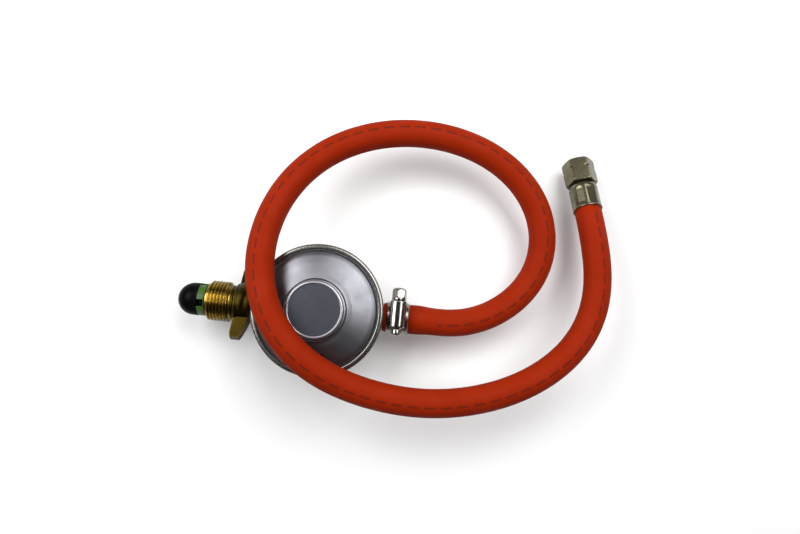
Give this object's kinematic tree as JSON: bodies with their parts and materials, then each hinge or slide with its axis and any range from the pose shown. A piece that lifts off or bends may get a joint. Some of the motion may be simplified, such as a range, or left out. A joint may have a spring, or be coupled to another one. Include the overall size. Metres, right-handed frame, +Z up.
{
  "type": "propane regulator hose",
  "caption": "Low-pressure gas regulator with a winged soft-nose cylinder nut, a looped rubber hose held by a worm-drive clip, and a crimped swivel nut at the hose end.",
  "frame": {"origin": "centre of the regulator's flat base, on the surface that it stands on", "axes": "+X along the gas path from the cylinder nut to the hose nozzle, +Z up the regulator's round axis"},
  "size_m": [0.237, 0.1605, 0.0611],
  "materials": {
    "grey_paint": "satin metallic grey paint",
    "bright_steel": "bright nickel-plated steel",
    "label_grey": "matt dark grey paint",
    "brass": "tarnished turned brass",
    "nose_rubber": "smooth black nitrile rubber",
    "collar_green": "moulded green plastic",
    "diaphragm_rubber": "matt black sheet rubber",
    "hose_rubber": "satin orange-red gas hose rubber",
    "fitting_steel": "olive-tinted plated steel",
    "spring_steel": "plain steel",
    "cast_zinc": "die-cast zinc, painted grey",
    "white_plastic": "white acetal plastic"
  },
  "bodies": {
    "regulator": {"lower_body": "cast_zinc", "upper_cover": "grey_paint", "clinch_ring": "bright_steel", "tower_cap": "grey_paint", "label_disc": "label_grey", "lever_pin": "bright_steel", "valve_guide": "brass", "inlet_orifice": "brass", "inlet_filter": "spring_steel", "inlet_spigot": "brass", "bullnose_seal": "nose_rubber", "nose_collar": "collar_green", "outlet_nozzle": "brass", "hose_on_nozzle": "hose_rubber", "hose": "hose_rubber", "hose_in_ferrule": "hose_rubber", "clip_band": "bright_steel", "clip_housing": "bright_steel", "ferrule": "fitting_steel", "hose_tail": "fitting_steel"},
    "thrust_washer": {"thrust_washer": "brass"},
    "hand_nut": {"hand_nut": "brass"},
    "swivel_nut": {"swivel_nut": "fitting_steel"},
    "clip_screw": {"clip_screw": "bright_steel"},
    "adjusting_screw": {"adjusting_screw": "white_plastic"},
    "diaphragm_unit": {"diaphragm": "diaphragm_rubber", "diaphragm_plate": "spring_steel", "diaphragm_washer": "spring_steel", "diaphragm_stem": "brass", "stem_nut": "bright_steel", "main_spring": "spring_steel"},
    "lever": {"lever": "spring_steel"},
    "valve_slider": {"valve_slider": "white_plastic", "valve_pad": "nose_rubber"}
  },
  "joints": [
    {"name": "nut_slide", "type": "slide", "parent": "regulator", "child": "thrust_washer", "axis": [1, 0, 0], "range_m": [0, 0.0012]},
    {"name": "nut_spin", "type": "hinge", "parent": "thrust_washer", "child": "hand_nut", "pos_m": [-0.062, 0, 0.022], "axis": [1, 0, 0], "continuous": true},
    {"name": "swivel_spin", "type": "hinge", "parent": "regulator", "child": "swivel_nut", "pos_m": [0.14134, 0.09364, 0.01118], "axis": [-0.1733, 0.9351, -0.309], "continuous": true},
    {"name": "clip_screw_turn", "type": "hinge", "parent": "regulator", "child": "clip_screw", "pos_m": [0.0433, 0, 0.0349], "axis": [0, 1, 0], "continuous": true},
    {"name": "adjusting_screw_turn", "type": "hinge", "parent": "regulator", "child": "adjusting_screw", "pos_m": [0, 0, 0.0437], "axis": [0, 0, 1], "range_deg": [-360, 360]},
    {"name": "diaphragm_lift", "type": "slide", "parent": "regulator", "child": "diaphragm_unit", "axis": [0, 0, 1], "range_m": [0, 0.0016], "stiffness_N_per_m": 1200, "springref_m": -0.004, "deforming": ["main_spring", "diaphragm"]},
    {"name": "lever_turn", "type": "hinge", "parent": "regulator", "child": "lever", "pos_m": [-0.009, 0, 0.015], "axis": [0, -1, 0], "range_deg": [0, 10.5]},
    {"name": "valve_slide", "type": "slide", "parent": "regulator", "child": "valve_slider", "axis": [-1, 0, 0], "range_m": [0, 0.00125]}
  ],
  "couplings": [
    {"joint": "lever_turn", "follows": "diaphragm_lift", "rad_per_m": 111.11},
    {"joint": "valve_slide", "follows": "diaphragm_lift", "ratio": 0.7778}
  ]
}
